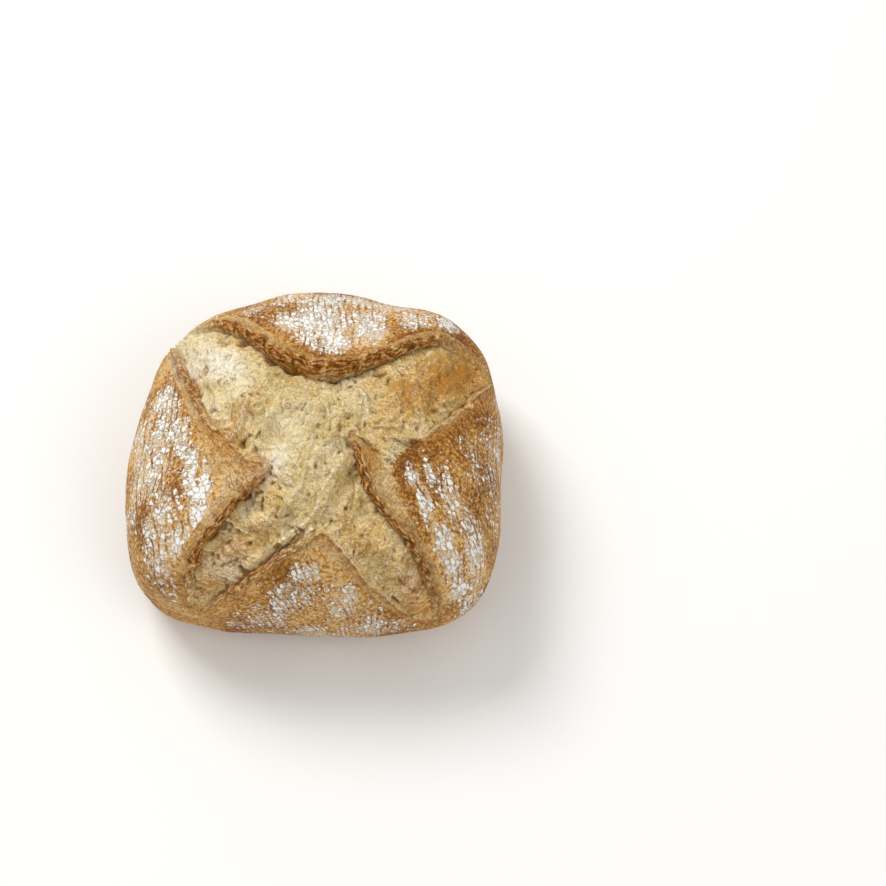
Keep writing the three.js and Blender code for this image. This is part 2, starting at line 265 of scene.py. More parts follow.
# Flour on the crust: place, half length along the lines, half width, turn, strength.
FLOUR_PATCHES = (
    (-46, 8, 9, 6, 15, 0.86), (-40, -6, 8, 4, 10, 0.90), (-36, -16, 7, 3.5, 5, 0.93),
    (-32.5, -22, 6, 3, 0, 1.05), (-32, -29, 5, 3, 10, 0.98), (-37, -35, 6, 4.5, 20, 0.78),
    (-50, -8, 26, 12, 0, 0.62), (-44, -32, 20, 9, 8, 0.56), (-62, -12, 40, 14, 0, 0.40),
    (1, 31, 11, 10, 0, 1.06), (-9, 31, 7, 6, 25, 0.80), (4, 23, 6, 9, 0, 0.95),
    (15, 30, 9, 7, -5, 0.90), (28, 32, 7, 6, -15, 0.82), (37, 33, 6, 5, -25, 0.84),
    (6, 44, 10, 32, 0, 0.66), (-22, 38, 6, 8, 25, 0.50),
    (26.6, -20.6, 3.4, 2.0, 0, 0.98), (31.2, -18.5, 4.4, 1.8, 0, 0.88),
    (28.8, -26.5, 5.5, 2.2, 0, 0.86), (36, -24, 10, 4, 5, 0.66), (33.2, -34, 4, 2.8, 15, 0.98),
    (36, -40, 6, 3.6, 20, 1.00), (40, -46.5, 5, 3.2, 15, 0.96), (43, -36, 12, 5, 10, 0.70),
    (51, -18, 26, 9, 0, 0.50), (60, 0, 34, 9, 0, 0.42), (47, -10, 9, 7, 0, 0.38),
    (49, -52, 8, 8, 10, 0.6),
    (-4.5, -48, 3.8, 4.5, 10, 0.86), (-9, -57, 8, 10, 12, 0.66), (8, -58, 9, 9, 18, 0.66),
    (-20, -64, 9, 16, 12, 0.54), (20, -66, 9, 16, 20, 0.54), (0, -76, 10, 36, 0, 0.46),
    (0, 66, 16, 46, 0, 0.52),
)
FLOUR_DRIFT = 0.26          # how unevenly it lies
DRIFT_LENGTHS = (4.5, 8)
FLOUR_CLEAR = 0.3           # width without flour beside the bare skin
FLOUR_FADE = 2
# Darker (above 0) and paler (below 0) patches, in the same form: the crust's uneven baking, and on the
# crumb also painted light and shade, palest at its upper left.
BAKE_AND_PAINTED_LIGHT_PATCHES = (
    (-22, -19, 12, 10, 0, -0.55), (-36, 2, 20, 5, 25, -0.35), (-45, 24, 12, 8, 20, -0.5),
    (30, -14, 12, 12, 0, 0.45), (44, -22, 26, 12, 0, 0.30), (2, 18, 5, 16, 0, 0.35),
    (-1, -44, 7, 12, 0, -0.55), (-46, -60, 16, 18, 0, -0.15), (46, -60, 16, 18, 0, -0.25),
    (-28, 40, 8, 14, 0, -0.35), (44, 32, 10, 12, 0, 0.25),
    (-30, 18, 12, 9, 20, -0.75), (-16, 6, 10, 12, 0, -0.35), (-13, -17, 10, 6, 0, -0.5),
    (40, 14, 14, 12, 0, 0.35), (26, -48, 12, 12, 0, -0.55), (-27, -44, 10, 12, 0, -0.60),
    (36, 16, 13, 9, -60, 1.2), (-22, -13, 6, 5, 0, 0.6),
)
# Toasted parts of the crumb, in the same form.
TOAST_PATCHES = (
    (38, 12, 14, 10, -60, 0.85), (25, 3, 9, 8, -45, 0.55), (50, 21, 9, 7, -60, 0.6),
    (27, -50, 13, 7, 30, 0.85), (12, -40, 8, 5, 30, 0.55), (-27, -42, 9, 7, -50, 0.75),
    (-17, -36, 7, 6, -50, 0.45), (-19, -21, 7, 5, 40, 0.85), (-29, -9, 7, 4, 35, 0.7),
    (-24, 0, 9, 2.5, -25, 0.6), (-37, 14, 6, 2, -20, 0.5), (3, -32, 13, 9, 0, 0.28),
    (16, -15, 8, 3, -35, 0.8), (-22, 22, 10, 3, 50, 0.45), (0, 8, 6, 12, 0, 0.12),
    (-34, -50, 7, 7, -50, 0.6), (34, -55, 7, 6, 30, 0.6),
)

# Seeds of the random patterns.
SEEDS = {"fibre": 11, "lump": 21, "web": 31, "strip": 41, "bare strip": 43, "pore": 51,
         "layer": 61, "blister": 71, "rag": 81, "crest": 83, "pit": 91, "drift": 95}

# Camera of the photograph, worked out from the roll's outline in it.
FRAME = 886                 # pixels across the photograph
FRAME_SPAN = 235.6          # millimetres across it, at the roll
ROLL_PIXEL = (320.05, 448.6)  # where the middle of the roll shows
CAMERA_TILT = 67            # degrees above the floor
CAMERA_LENS = 85
CAMERA_SENSOR = 36
CAMERA_DISTANCE = FRAME_SPAN * CAMERA_LENS / CAMERA_SENSOR * MM

# Stage, in metres and watts.
FLOOR_SIZE = 6
SOFT_BOXES = {              # place, size and power
    "soft_box_behind": ((-0.45, 0.55, 0.85), 0.45, 8.0),
    "soft_box_front": ((0.6, -0.5, 0.7), 0.8, 2.5),
}
ROOM_LIGHT = 0.58


def smooth(t):
    """Soft step from 0 to 1."""
    s = np.clip(t, 0, 1)
    return s * s * (3 - 2 * s)


def outline(phi):
    """Radius of the roll at its belly, in a direction."""
    square = (np.abs(np.cos(phi)) / HALF_WIDTH) ** OUTLINE_POWER
    square = square + (np.abs(np.sin(phi)) / HALF_DEPTH) ** OUTLINE_POWER
    sway = 1 + sum(c * np.cos(k * phi) + s * np.sin(k * phi)
                   for k, (c, s) in enumerate(OUTLINE_SWAY, 1))
    return sway * square ** (-1 / OUTLINE_POWER)


def skin_points(places, lift=0.0):
    """Points of the roll over places of the map, raised by lift."""
    beta = np.hypot(places[:, 0], places[:, 1]) / MAP_RADIUS
    phi = np.arctan2(places[:, 1], places[:, 0])
    upper = np.cos(beta) > 0
    power = np.where(upper, TOP_POWER, FOOT_POWER)
    reach = np.where(upper, HEIGHT - BELLY, BELLY + FOOT_SINK)
    radius = ((np.sin(beta) / outline(phi)) ** power
              + (np.abs(np.cos(beta)) / reach) ** power) ** (-1 / power) + lift
    return np.stack([radius * np.sin(beta) * np.cos(phi), radius * np.sin(beta) * np.sin(phi),
                     radius * np.cos(beta) + BELLY], axis=1)


def rim_places(phi):
    """Places of the map at which the skin meets the flat base."""
    share = (BELLY / (BELLY + FOOT_SINK)) ** FOOT_POWER
    rim_radius = outline(phi) * (1 - share) ** (1 / FOOT_POWER)
    reach = MAP_RADIUS * (math.pi - np.arctan(rim_radius / BELLY))
    return np.stack([reach * np.cos(phi), reach * np.sin(phi)], axis=1)


def waves(points, length):
    """Sum of plane waves in scattered directions, about 1 high, as in the solid."""
    count = 7
    total = np.zeros(len(points))
    for k in range(count):
        z = 1 - (2 * k + 1) / count
        ring = math.sqrt(1 - z * z)
        along = points @ (ring * math.cos(2.4 * k), ring * math.sin(2.4 * k), z)
        total += np.sin(2 * math.pi * along / length * (1 + 0.13 * k) + k * k + 1)
    return total / math.sqrt(count)


def lattice(cells, seed):
    """Random numbers from 0 to 1 for whole-numbered cells."""
    mixed = np.full(len(cells), seed * 40503 + 977, dtype=np.int64)
    for axis, factor in zip(cells.T, (374761393, 668265263, 1274126177)):
        mixed = (mixed + axis * factor) & 0xFFFFFFFF
        mixed = ((mixed ^ (mixed >> 13)) * 1103515245 + 12345) & 0xFFFFFFFF
        mixed = mixed ^ (mixed >> 16)
    return (mixed & 0xFFFFF) / 0xFFFFF


def noise(points, seed=1):
    """Smooth noise with one swell to a unit, from about -1 to 1."""
    cells = np.floor(points).astype(np.int64)
    part = points - cells
    fade = part ** 3 * (part * (part * 6 - 15) + 10)
    total = np.zeros(len(points))
    for corner in itertools.product((0, 1), repeat=points.shape[1]):
        weight = np.prod(np.where(corner, fade, 1 - fade), axis=1)
        total += weight * (2 * lattice(cells + np.array(corner), seed) - 1)
    return total


def rough_noise(points, seed=1, layers=3):
    """Noise with layers of finer noise on it."""
    return sum(noise(points * 2 ** k, seed + k) / 2 ** k for k in range(layers)) / 1.5


def walk(points):
    """Smooth run of short steps through some points of an edge, as in the solid."""
    points = np.array(points, dtype=float)
    steps = []
    for i in range(len(points) - 1):
        a, b, c, d = (points[min(max(k, 0), len(points) - 1)] for k in (i - 1, i, i + 1, i + 2))
        for t in np.arange(EDGE_STEPS) / EDGE_STEPS:
            steps.append(0.5 * (2 * b + (c - a) * t + (2 * a - 5 * b + 4 * c - d) * t * t
                                + (3 * b - a - 3 * c + d) * t ** 3))
    return np.array(steps + [points[-1]])


def lengths_along(steps):
    """Length from the start of a run to each of its steps."""
    return np.concatenate([[0], np.cumsum(np.linalg.norm(np.diff(steps, axis=0), axis=1))])


def spread(steps, cells):
    """Evenly spaced places along a run of steps."""
    places = steps[:, :2]
    lengths = lengths_along(places)
    at = np.linspace(0, lengths[-1], cells + 1)
    return np.stack([np.interp(at, lengths, places[:, n]) for n in (0, 1)], axis=1)


def inward_normals(steps):
    """Directions on the map from an edge towards the crumb, which lies to its right."""
    ahead = np.gradient(steps[:, :2], axis=0)
    ahead /= np.linalg.norm(ahead, axis=1)[:, None]
    return np.stack([ahead[:, 1], -ahead[:, 0]], axis=1)


Lip = namedtuple("Lip", "distance u v step face bare way crumb_u crumb_v")
EDGES = [walk(points) for _, points in PETALS.values()]
EDGE_POINTS = [skin_points(edge[:, :2]) for edge in EDGES]


def nearest(petal, points, chunk=4000):
    """Nearest place of a petal's edge to each point.

    A row holds what a Lip does: its way runs along the edge, with the petals far apart.
    """
    edge, solid = EDGES[petal], EDGE_POINTS[petal]
    way = lengths_along(solid) + PETAL_GAP * petal
    values = np.column_stack([edge, way, inward_normals(edge)])
    span = solid[1:] - solid[:-1]
    size = (span ** 2).sum(axis=1)
    rows = []
    for some in np.array_split(points, max(len(points) // chunk, 1)):
        away = some[:, None] - solid[None, :-1]
        t = np.clip((away * span).sum(axis=2) / size, 0, 1)
        gap = np.linalg.norm(away - t[..., None] * span, axis=2)
        best = gap.argmin(axis=1)
        here = np.arange(len(some))
        t = t[here, best][:, None]
        found = values[best] + (values[best + 1] - values[best]) * t
        rows.append(np.column_stack([gap[here, best], found]))
    return np.concatenate(rows)


def torn_depth(distance, step, face):
    """Depth of the crumb below the plain form, at a distance from one lip."""
    fallen = smooth(distance / face)
    past = np.maximum(distance - face, 0)
    furrow = GUTTER * np.minimum(step / GUTTER_STEP, 1) * np.exp(-(past / GUTTER_REACH) ** 2)
    swell = step * (1 - np.exp(-past / CRUMB_REACH))
    return (step * (1 + LIP_CURL) + furrow) * fallen - LIP_CURL * step - swell


def oval_reach(places, u, v, half_length, half_width, degrees):
    """Distance from the middle of an oval, which is 1 on the oval."""
    turn = math.radians(degrees)
    away = places - (u, v)
    along = away @ (math.cos(turn), math.sin(turn)) / half_length
    across = away @ (-math.sin(turn), math.cos(turn)) / half_width
    return np.hypot(along, across)


def blobs(places, forms):
    """Heights of soft oval patches: place, half sizes, turn in degrees and height."""
    return np.array([height * np.exp(-oval_reach(places, *oval) ** 2)
                     for *oval, height in forms])


def upright(patches):
    """The patches with their length along v instead of u."""
    return [(u, v, length, width, 90 + turn, height)
            for u, v, length, width, turn, height in patches]


def grain_place(places):
    """Where a place lies across and along the flour lines, which lean on the roll's front."""
    across = places[:, 0] + GROOVE_SLANT * np.minimum(places[:, 1] - GROOVE_SLANT_FROM, 0)
    return np.column_stack([across, places[:, 1], np.zeros(len(places))])


def fibre_place(places):
    """Place in the grain of the crumb: across the fibres, then twice along them."""
    away = places - CROSS_MIDDLE
    radius = np.hypot(away[:, 0], away[:, 1])
    turn = np.arctan2(away[:, 1], away[:, 0])
    reach = FIBRE_RADIUS / FIBRE_LENGTH
    return np.stack([radius / FIBRE_WIDTH, reach * np.cos(turn), reach * np.sin(turn)], axis=1)


def pores(places, cell, seed):
    """Depth, from 0 to 1, of scattered round and oval pores."""
    grid = places / cell
    home = np.floor(grid).astype(np.int64)
    deepest = np.zeros(len(places))
    for shift in itertools.product((-1, 0, 1), repeat=2):
        at = home + np.array(shift)
        draws = np.stack([lattice(at, seed), lattice(at, seed + 1)], axis=1)
        middle = at + PORE_MARGIN + (1 - 2 * PORE_MARGIN) * draws
        size = PORE_LEAST + PORE_MORE * lattice(at, seed + 2) ** 2
        turn = math.pi * lattice(at, seed + 3)
        away = grid - middle
        long_way = (away[:, 0] * np.cos(turn) + away[:, 1] * np.sin(turn)) / PORE_STRETCH
        short_way = away[:, 1] * np.cos(turn) - away[:, 0] * np.sin(turn)
        deep = smooth(PORE_SIDE - np.hypot(long_way, short_way) / size)
        there = lattice(at, seed + 4) < PORE_SHARE
        deepest = np.maximum(deepest, there * deep * np.minimum(size / PORE_FULL, 1))
    return deepest


def pits(places, points):
    """Depth, in millimetres, of the holes and pits that have their own places."""
    deepest = np.zeros(len(places))
    stray = PIT_RAG * rough_noise(points / PIT_RAG_LENGTH, SEEDS["pit"], 2)
    for *oval, depth in PITS:
        deep = smooth(PIT_SIDE - oval_reach(places, *oval) - stray)
        deepest = np.maximum(deepest, depth * deep)
    return deepest


def torn_layers(points):
    """Height of thin torn layers, each rising slowly to a sharp edge, and their number."""
    number = LAYER_FIRST + LAYER_COUNT * rough_noise(points / LAYER_LENGTH, SEEDS["layer"], 3)
    rise = number - np.floor(number)
    edge = (rise - 1 + LAYER_EDGE) / LAYER_EDGE
    return rise / (1 - LAYER_EDGE) * (1 - smooth(edge)), number


def seam_relief(places):
    """Height of the seams, depth of the shade beside them, and distance from the nearest."""
    distance = np.full(len(places), float(SEAM_FAR))
    side = np.zeros(len(places))
    for seam in SEAMS:
        for start, end in zip(np.array(seam[:-1]), np.array(seam[1:])):
            span = end - start
            away = places - start
            t = np.clip(away @ span / (span @ span), 0, 1)
            gap = np.linalg.norm(away - t[:, None] * span, axis=1)
            left = (span[0] * away[:, 1] - span[1] * away[:, 0]) / np.linalg.norm(span)
            side = np.where(gap < distance, left, side)
            distance = np.minimum(gap, distance)
    high = smooth(0.5 + side / SEAM_RISE)
    height = SEAM_WALL * np.exp(-(distance / SEAM_WIDTH) ** 2)
    height += SEAM_STEP * high * np.exp(-distance / SEAM_REACH)
    shade = (1 - high) * np.exp(-((distance - SEAM_FOOT) / SEAM_WIDTH) ** 2)
    return height, shade, distance


def in_notch(places):
    """How far places lie inside the notch of the right petal, from each of its sides."""
    deep = np.array(NOTCH[0])
    sides = []
    for side, turn in zip(NOTCH[1:], (-1, 1)):
        ahead = (np.array(side) - deep) / np.linalg.norm(np.array(side) - deep)
        sides.append((places - deep) @ (-turn * ahead[1], turn * ahead[0]))
    near = np.linalg.norm(places - deep, axis=1) < NOTCH_REACH
    return np.where(near, sides[0], NOTCH_OUT), np.where(near, sides[1], NOTCH_OUT)


def lips_near(points):
    """The lips at each point, nearest first."""
    found = np.stack([nearest(petal, points) for petal in range(len(EDGES))])
    here = np.arange(len(points))
    return [Lip(*found[rank, here].T) for rank in found[:, :, 0].argsort(axis=0)]


def crumb_relief(lips, points, places):
    """Height and slide towards the crumb of torn crumb, and facts for its finish."""
    lip = lips[0]
    inward = smooth(lip.distance / CALM_REACH)
    height = -torn_depth(lip.distance, lip.step, lip.face)
    for other in lips[1:]:
        height -= inward * torn_depth(other.distance, other.step, other.face)
    height += inward * (CRUMB_LUMP * waves(points, CRUMB_LUMP_LENGTH)
                        + blobs(places, CRUMB_FORMS).sum(axis=0))

    pore = pores(places, PORE_CELL, SEEDS["pore"])
    lump = rough_noise(points / LUMP_FINE_LENGTH, SEEDS["lump"], 4)
    fibre = rough_noise(fibre_place(places), SEEDS["fibre"], 2)
    web = np.zeros(len(places))
    for k, length in enumerate(WEB_LENGTHS):
        wall = 1 - np.abs(rough_noise(points / length, SEEDS["web"] + k, 2)) / WEB_WIDTH
        web += smooth(wall) / (k + 1)
    layer, number = torn_layers(points)
    wall, wall_shade, seam = seam_relief(places)
    height += smooth(lip.distance / FINE_REACH) * (
        LUMP_FINE * lump + FIBRE * fibre + WEB * web + LAYER * layer + wall
        - PORE_DEPTH * pore)
    pit = pits(places, points) * smooth(lip.distance)
    height -= pit

    share = lip.distance / lip.face
    on_face = smooth(1 - np.abs(2 * share - 1)) * np.minimum(lip.step / FULL_STEP, 1)
    at_foot = np.exp(-((lip.distance - lip.face - FOOT_OUT) / UNDERCUT_REACH) ** 2)
    height += STRIP * on_face * rough_noise(strip_place(lip), SEEDS["strip"], 2)
    slide = lip.step * (OVERHANG * on_face - UNDERCUT * at_foot * smooth(2 * share - 1))
    # Painted shade in the furrow at the foot of each torn face, under the lip.
    undercut_shade = at_foot * smooth(2 * share - 1) * np.minimum(lip.step / GUTTER_STEP, 1)
    # Painted shade: darker in pores, pits, beside the seams and under the lips, paler on lumps and
    # fibres.
    painted_shade = (pore + pit - LUMP_SHADE * lump - FIBRE_SHADE * fibre
              + SEAM_SHADE * wall_shade + CREVICE_SHADE * undercut_shade)
    paler_share = (share - FACE_BROWN) / (1 - FACE_BROWN) - FACE_BROWN_RAG * lump
    browned = smooth(1 - paler_share) * smooth(lip.step / FACE_BROWN_STEP)
    return height, slide, {"painted_shade": np.clip(painted_shade, 0, 1), "web": np.clip(web, 0, 1),
                           "browned": browned, "bare": np.ones(len(places)),
                           "layer": number, "seam": seam}


def crust_relief(lip, points, places):
    """Height of the crust over the plain form, and facts for its finish."""
    bare = smooth(1 - (lip.distance - lip.bare) / np.maximum(lip.bare, BARE_LEAST))
    skin = smooth((lip.distance - lip.bare) / SKIN_FADE)
    height = LIP_CURL * lip.step * np.exp(-lip.distance / CURL_REACH)
    height += BLISTER * skin * rough_noise(points / BLISTER_LENGTH, SEEDS["blister"])
    height -= (SKIN_STEP * (1 - skin) * smooth(lip.bare / BARE_WIDE)
               * smooth(lip.distance / EDGE_RISE))
    height += (STRIP * bare * smooth(lip.distance / LIP_FADE)
               * rough_noise(strip_place(lip), SEEDS["bare strip"], 2))
    browned = bare * (BARE_BROWN + LIP_BROWN * np.exp(-lip.distance / LIP_BROWN_REACH))
    return height, {"painted_shade": np.zeros(len(places)), "web": np.zeros(len(places)),
                    "browned": browned, "bare": bare, "layer": torn_layers(points)[1],
                    "seam": np.full(len(places), float(SEAM_FAR))}


def strip_place(lip):
    """Place in the flaky strips of a torn face: along the lip, then down the face."""
    down = lip.distance * np.hypot(1, lip.step / lip.face)
    return np.stack([lip.way / STRIP_LENGTH, down / STRIP_WIDTH], axis=1)


def shape(places, torn):
    """Corners over places of the map, and the facts that the finishes read there.

    Torn is 1 in the crumb and 0 on the crust.
    """
    points = skin_points(places)
    lips = lips_near(points)
    lip = lips[0]
    ragged = np.minimum(lip.step / FULL_STEP, 1) * np.exp(-(lip.distance / RAG_REACH) ** 2)
    along = (lip.way / RAG_LENGTH)[:, None]
    notch_sides = in_notch(places)
    notch = smooth(0.5 + np.minimum(*notch_sides) / NOTCH_EDGE) * (1 - torn)
    torn = torn + notch

    crumb, crumb_slide, crumb_facts = crumb_relief(lips, points, places)
    crust, crust_facts = crust_relief(lip, points, places)
    height = crust + (crumb - crust) * torn
    height -= (NOTCH_DROP * notch * smooth(lip.distance)
               * np.exp(-(notch_sides[1] / NOTCH_LIP) ** 2))
    height += CRUST_SWELL * waves(points, CRUST_SWELL_LENGTH) * smooth(points[:, 2] / FOOT_CALM)
    height += CREST * ragged * rough_noise(along * RAG_LENGTH / CREST_LENGTH,
                                             SEEDS["crest"])
    slide = RAG * ragged * rough_noise(along, SEEDS["rag"], 4) + crumb_slide * torn
    aside = np.stack([lip.crumb_u, lip.crumb_v], axis=1)
    corners = skin_points(places + aside * slide[:, None], height)
    corners[:, 2] = np.maximum(corners[:, 2], 0)

    facts = {fact: crust_facts[fact] + (values - crust_facts[fact]) * torn
             for fact, values in crumb_facts.items()}
    floured = smooth((lip.distance - lip.bare - FLOUR_CLEAR) / FLOUR_FADE) * (1 - torn)
    toast = blobs(places, upright(TOAST_PATCHES)).sum(axis=0)
    flour = blobs(places, upright(FLOUR_PATCHES)).max(axis=0)
    drift = rough_noise(places / DRIFT_LENGTHS, SEEDS["drift"])
    facts |= {
        "toast": np.clip(toast + BARE_TOAST * (1 - torn), 0, 1),
        "bake_and_painted_light": blobs(places, upright(BAKE_AND_PAINTED_LIGHT_PATCHES)).sum(axis=0),
        "flour": floured * (flour + FLOUR_DRIFT * drift * smooth(2 * flour)),
        "rim": np.exp(-lip.distance / RIM_REACH),
        "grain": grain_place(places),
        "fibre": fibre_place(places),
        "strip": np.column_stack([strip_place(lip), np.zeros(len(places))]),
    }
    return corners, facts


def crowded(count):
    """Shares from 0 to 1, crowded to both ends."""
    m = np.linspace(0, 1, count + 1)
    return m - LIP_CROWD * np.sin(2 * math.pi * m) / (2 * math.pi)


def lines_between(start, end, shares):
    """Rows of places, each running from a start to an end."""
    return start[:, None] + (end - start)[:, None] * shares[None, :, None]


def cross_places():
    """Rows of places over the four arms and the middle of the cross, and the petals' lips."""
    shares = crowded(CROSS_CELLS)
    into, out = [], []
    for edge, (tip, _) in zip(EDGES, PETALS.values()):
        cut = tip * EDGE_STEPS
        into.append(spread(edge[:cut + 1], ARM_CELLS))
        out.append(spread(edge[cut:], ARM_CELLS))
    arms = [lines_between(out[k], into[(k + 1) % 4][::-1], shares) for k in range(4)]

    north, east = arms[0][0], arms[1][0]
    south, west = arms[2][0][::-1], arms[3][0][::-1]
    sides = lines_between(west, east, shares)
    caps = lines_between(north, south, shares).transpose(1, 0, 2)
    ends = lines_between(north[[0, -1]], south[[0, -1]], shares)
    inner = lines_between(ends[0], ends[1], shares)
    return arms, sides + caps - inner, into, out


def crust_places(arms, into, out):
    """Rows of places from the edges of the cross down to the base."""
    loop, turns = [], []
    for k in range(4):
        start = ARM_TURNS[(k + 3) % 4] + (360 if k == 0 else 0) - ARM_SPREAD
        end = ARM_TURNS[k] + ARM_SPREAD
        loop += [into[k], out[k][1:], arms[k][-1][1:-1]]
        turns += [np.linspace(start, end, 2 * ARM_CELLS + 1),
                  end - 2 * ARM_SPREAD * np.arange(1, CROSS_CELLS) / CROSS_CELLS]
    loop, turns = np.concatenate(loop), np.radians(np.concatenate(turns))
    loop, turns = np.concatenate([loop, loop[:1]]), np.append(turns, turns[0])
    fall = np.linspace(0, 1, SIDE_CELLS + 1) ** SIDE_CROWD
    return lines_between(loop, rim_places(turns), fall).transpose(1, 0, 2)


def new_patch(name, corners, facts, finish):
    """Grid primitive laid over rows of corners, with the facts of each corner stored."""
    rows, columns = corners.shape[0] - 1, corners.shape[1] - 1
    bpy.ops.mesh.primitive_grid_add(x_subdivisions=columns, y_subdivisions=rows, size=1)
    patch = bpy.context.active_object
    patch.name = name
    flat = np.empty(len(patch.data.vertices) * 3)
    patch.data.vertices.foreach_get("co", flat)
    at = np.rint((flat.reshape(-1, 3)[:, :2] + 0.5) * (columns, rows)).astype(int)
    which = at[:, 1] * (columns + 1) + at[:, 0]
    patch.data.vertices.foreach_set("co", (corners.reshape(-1, 3)[which] * MM).ravel())
    for fact, values in facts.items():
        kind, field = ("FLOAT", "value") if values.ndim == 1 else ("FLOAT_VECTOR", "vector")
        attribute = patch.data.attributes.new(fact, kind, "POINT")
        attribute.data.foreach_set(field, values[which].ravel())
    patch.data.materials.append(finish)
    bpy.ops.object.shade_smooth()
    return patch


def new_skin_patch(name, places, torn, finish):
    """Patch of the skin over rows of places; torn has one share for each row."""
    rows, columns = places.shape[:2]
    corners, facts = shape(places.reshape(-1, 2), np.repeat(torn, columns))
    return new_patch(name, corners.reshape(rows, columns, 3), facts, finish)


def new_base(rim, rim_facts, finish):
    """Patch that closes the roll below, from its rim to the middle of its base."""
    share = np.linspace(0, 1, BASE_CELLS + 1)
    corners = rim[None] * (1 - share)[:, None, None]
    corners[:, :, 2] = BASE_RISE * smooth(share)[:, None]
    facts = {}
    for fact, values in rim_facts.items():
        size = (1 - share)[:, None, None] if values.ndim == 2 else np.ones((BASE_CELLS + 1, 1))
        facts[fact] = (values[None] * size).reshape((-1,) + values.shape[1:])
    return new_patch("base", corners, facts, finish)


def sharpen_lips(mesh):
    """Marks the edges that run along the lips, so that crust and crumb are shaded apart."""
    rim, ends = np.empty(len(mesh.vertices)), np.empty(2 * len(mesh.edges), int)
    sharp = np.empty(len(mesh.edges), bool)
    mesh.attributes["rim"].data.foreach_get("value", rim)
    mesh.edges.foreach_get("vertices", ends)
    mesh.edges.foreach_get("use_edge_sharp", sharp)
    sharp |= rim[ends.reshape(-1, 2)].min(axis=1) > ON_LIP
    mesh.edges.foreach_set("use_edge_sharp", sharp)


def make_roll(crust, crumb):
    """The whole skin of the roll as one closed mesh, standing on the middle of the floor."""
    bpy.ops.object.select_all(action="DESELECT")
    arms, middle, into, out = cross_places()
    whole = np.ones(len(middle))
    arm_torn = smooth((ARM_CELLS - np.arange(ARM_CELLS + 1)) / ARM_FADE)
    patches = [new_skin_patch(f"arm_{k + 1}", arm, arm_torn, crumb) for k, arm in enumerate(arms)]
    patches.append(new_skin_patch("middle", middle, whole, crumb))

    side = crust_places(arms, into, out)
    rows, columns = side.shape[:2]
    corners, facts = shape(side.reshape(-1, 2), np.zeros(rows * columns))
    corners = corners.reshape(rows, columns, 3)
    corners[-1, :, 2] = 0
    patches.append(new_patch("side", corners, facts, crust))
    rim_facts = {fact: values[-columns:] for fact, values in facts.items()}
    patches.append(new_base(corners[-1], rim_facts, crust))

    for patch in patches:
        patch.select_set(True)
    bpy.ops.object.join()
    roll = bpy.context.active_object
    roll.name = roll.data.name = "torn_crust_and_crumb"
    bpy.ops.object.mode_set(mode="EDIT")
    bpy.ops.mesh.select_all(action="SELECT")
    bpy.ops.mesh.remove_doubles(threshold=SEW * MM)
    bpy.ops.mesh.normals_make_consistent(inside=False)
    bpy.ops.object.mode_set(mode="OBJECT")
    bpy.ops.object.shade_smooth_by_angle(angle=math.radians(SHARP_EDGE))
    sharpen_lips(roll.data)

    box = np.array(roll.bound_box)
    aside = Vector((*(-(box.min(axis=0) + box.max(axis=0))[:2] / 2), 0))
    roll.data.transform(Matrix.Translation(aside))
    return roll, aside


def linear(value):
    """Linear colour of an sRGB hex value."""
    parts = [int(value[k:k + 2], 16) / 255 for k in (1, 3, 5)]
    return (*(c / 12.92 if c <= 0.04045 else ((c + 0.055) / 1.055) ** 2.4 for c in parts), 1)


def add(material, kind, sockets=(), out=0, **settings):
    """Adds a node; each named or numbered socket gets a value or another node's output."""
    node = material.node_tree.nodes.new("ShaderNode" + kind)
    for name, value in settings.items():
        setattr(node, name, value)
    for socket, value in dict(sockets).items():
        if isinstance(value, bpy.types.NodeSocket):
            material.node_tree.links.new(value, node.inputs[socket])
        else:
            node.inputs[socket].default_value = value
    return node.outputs[out] if node.outputs else node


def new_material(name):
    """Empty material, with its Object coordinates in millimetres."""
    material = bpy.data.materials.new(name)
    material.use_nodes = True
    material.node_tree.nodes.clear()
    place = add(material, "TexCoord", out="Object")
    return material, add(material, "VectorMath", {0: place, "Scale": 1 / MM}, operation="SCALE")


# Setting that makes both ends of a ramp soft.
SOFT = {"interpolation_type": "SMOOTHSTEP"}


def ramp(value, start, end, top=1.0):
    """Sockets of a MapRange node that goes from 0 at the start to top at the end."""
    return {"Value": value, "From Min": start, "From Max": end, "To Max": top}


def thin_lines(m, noise, width):
    """1 along the thin winding lines where a noise crosses its middle, and 0 off them."""
    off = add(m, "Math", {0: noise, 1: 0.5}, operation="SUBTRACT")
    off = add(m, "Math", {0: off}, operation="ABSOLUTE")
    return add(m, "MapRange", ramp(off, width, 0.0), **SOFT)


def weighed(m, parts, total=0.0, **settings):
    """Sum of patterns, each times its weight, on top of a first total."""
    for pattern, weight in parts:
        total = add(m, "Math", {0: pattern, 1: weight, 2: total}, operation="MULTIPLY_ADD",
                    **settings)
    return total


def coated(m, colour, coats):
    """Colour under coats of other colours, each laid on by its share from 0 to 1."""
    for share, coat in coats:
        first, second = (linear(c) if isinstance(c, str) else c for c in (colour, coat))
        colour = add(m, "Mix", {0: share, 6: first, 7: second}, out=2, data_type="RGBA")
    return colour


